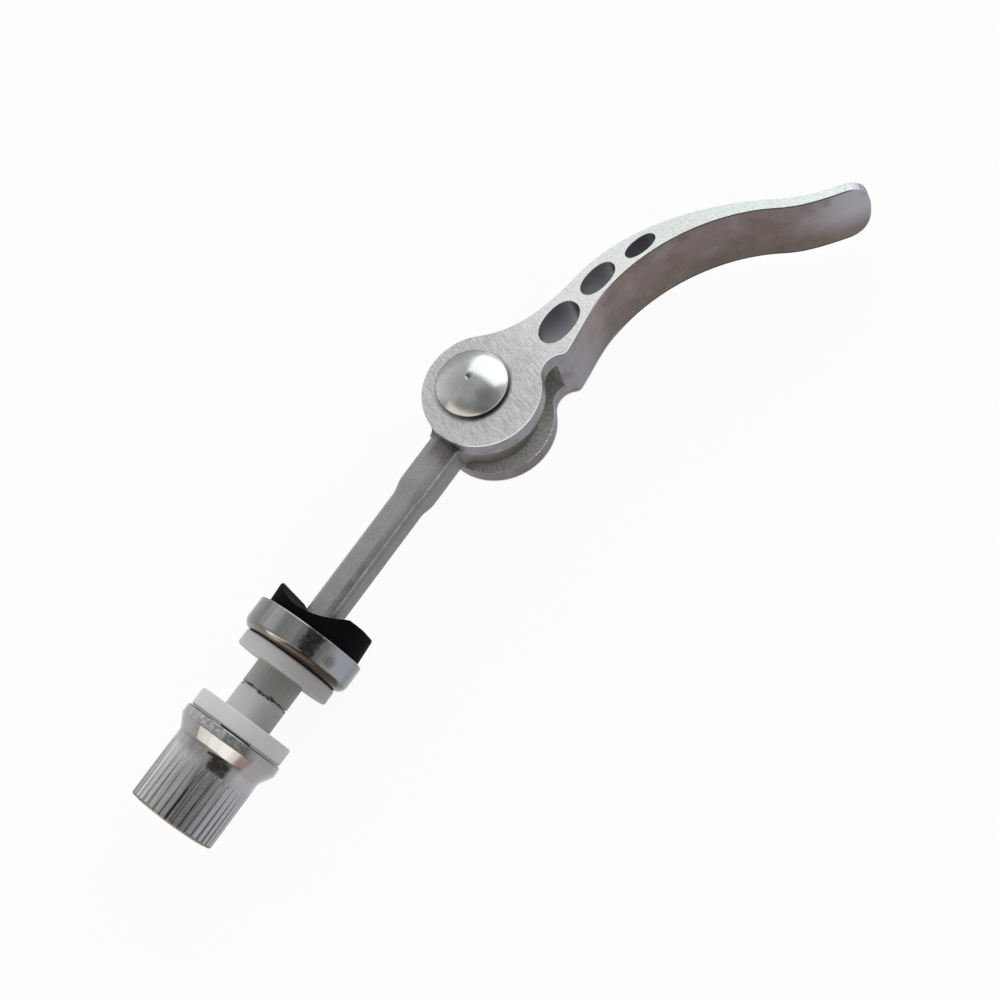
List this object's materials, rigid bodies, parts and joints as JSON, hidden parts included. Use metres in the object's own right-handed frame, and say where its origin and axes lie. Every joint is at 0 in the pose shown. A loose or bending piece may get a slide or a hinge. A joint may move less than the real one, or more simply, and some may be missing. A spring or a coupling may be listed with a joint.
{
  "type": "seatpost clamp skewer",
  "caption": "Quick-release seatpost clamp skewer with a drilled cam lever, black saddle washer in a steel cup, shouldered bushings and a thimble nut.",
  "frame": {"origin": "on the skewer's axis at the seat face of the upper bushing's flange", "axes": "+X along the skewer from the nut to the lever, +Z along the lever's pivot pin towards its domed head; the part lies on its side with the lever open"},
  "size_m": [0.1379, 0.0423, 0.0189],
  "materials": {
    "lever_alloy": "brushed faces, polished tip, satin sides",
    "pin_steel": "polished dome",
    "skewer_steel": "forged and plated, lightly soiled",
    "saddle_plastic": "black, satin",
    "cup_steel": "plated, soft sheen",
    "bushing_nylon": "natural white, satin",
    "nut_chrome": "bright plated with serrated grip"
  },
  "bodies": {
    "skewer_bar": {"skewer": "skewer_steel"},
    "cam_lever": {"lever": "lever_alloy", "pivot_pin": "pin_steel"},
    "nut_bushing": {"lower_bushing": "bushing_nylon"},
    "thimble_nut": {"nut": "nut_chrome"},
    "cup_bushing": {"upper_bushing": "bushing_nylon"},
    "cam_seat": {"saddle_washer": "saddle_plastic", "cup_washer": "cup_steel"}
  },
  "joints": [
    {"name": "lever_pivot", "type": "hinge", "parent": "skewer_bar", "child": "cam_lever", "pos_m": [0.0515, 0, 0], "axis": [0, 0, 1], "range_deg": [-95, 120]},
    {"name": "nut_spin", "type": "hinge", "parent": "nut_bushing", "child": "thimble_nut", "pos_m": [-0.01115, 0, 0], "axis": [1, 0, 0], "range_deg": [-1440, 2160]},
    {"name": "lower_slide", "type": "slide", "parent": "skewer_bar", "child": "nut_bushing", "axis": [1, 0, 0], "range_m": [-0.004, 0.006]},
    {"name": "upper_slide", "type": "slide", "parent": "nut_bushing", "child": "cup_bushing", "axis": [1, 0, 0], "range_m": [0, 0.012]},
    {"name": "saddle_slide", "type": "slide", "parent": "cup_bushing", "child": "cam_seat", "axis": [1, 0, 0], "range_m": [0, 0.0125]}
  ],
  "couplings": [
    {"joint": "lower_slide", "follows": "nut_spin", "m_per_rad": 0.00015915}
  ]
}
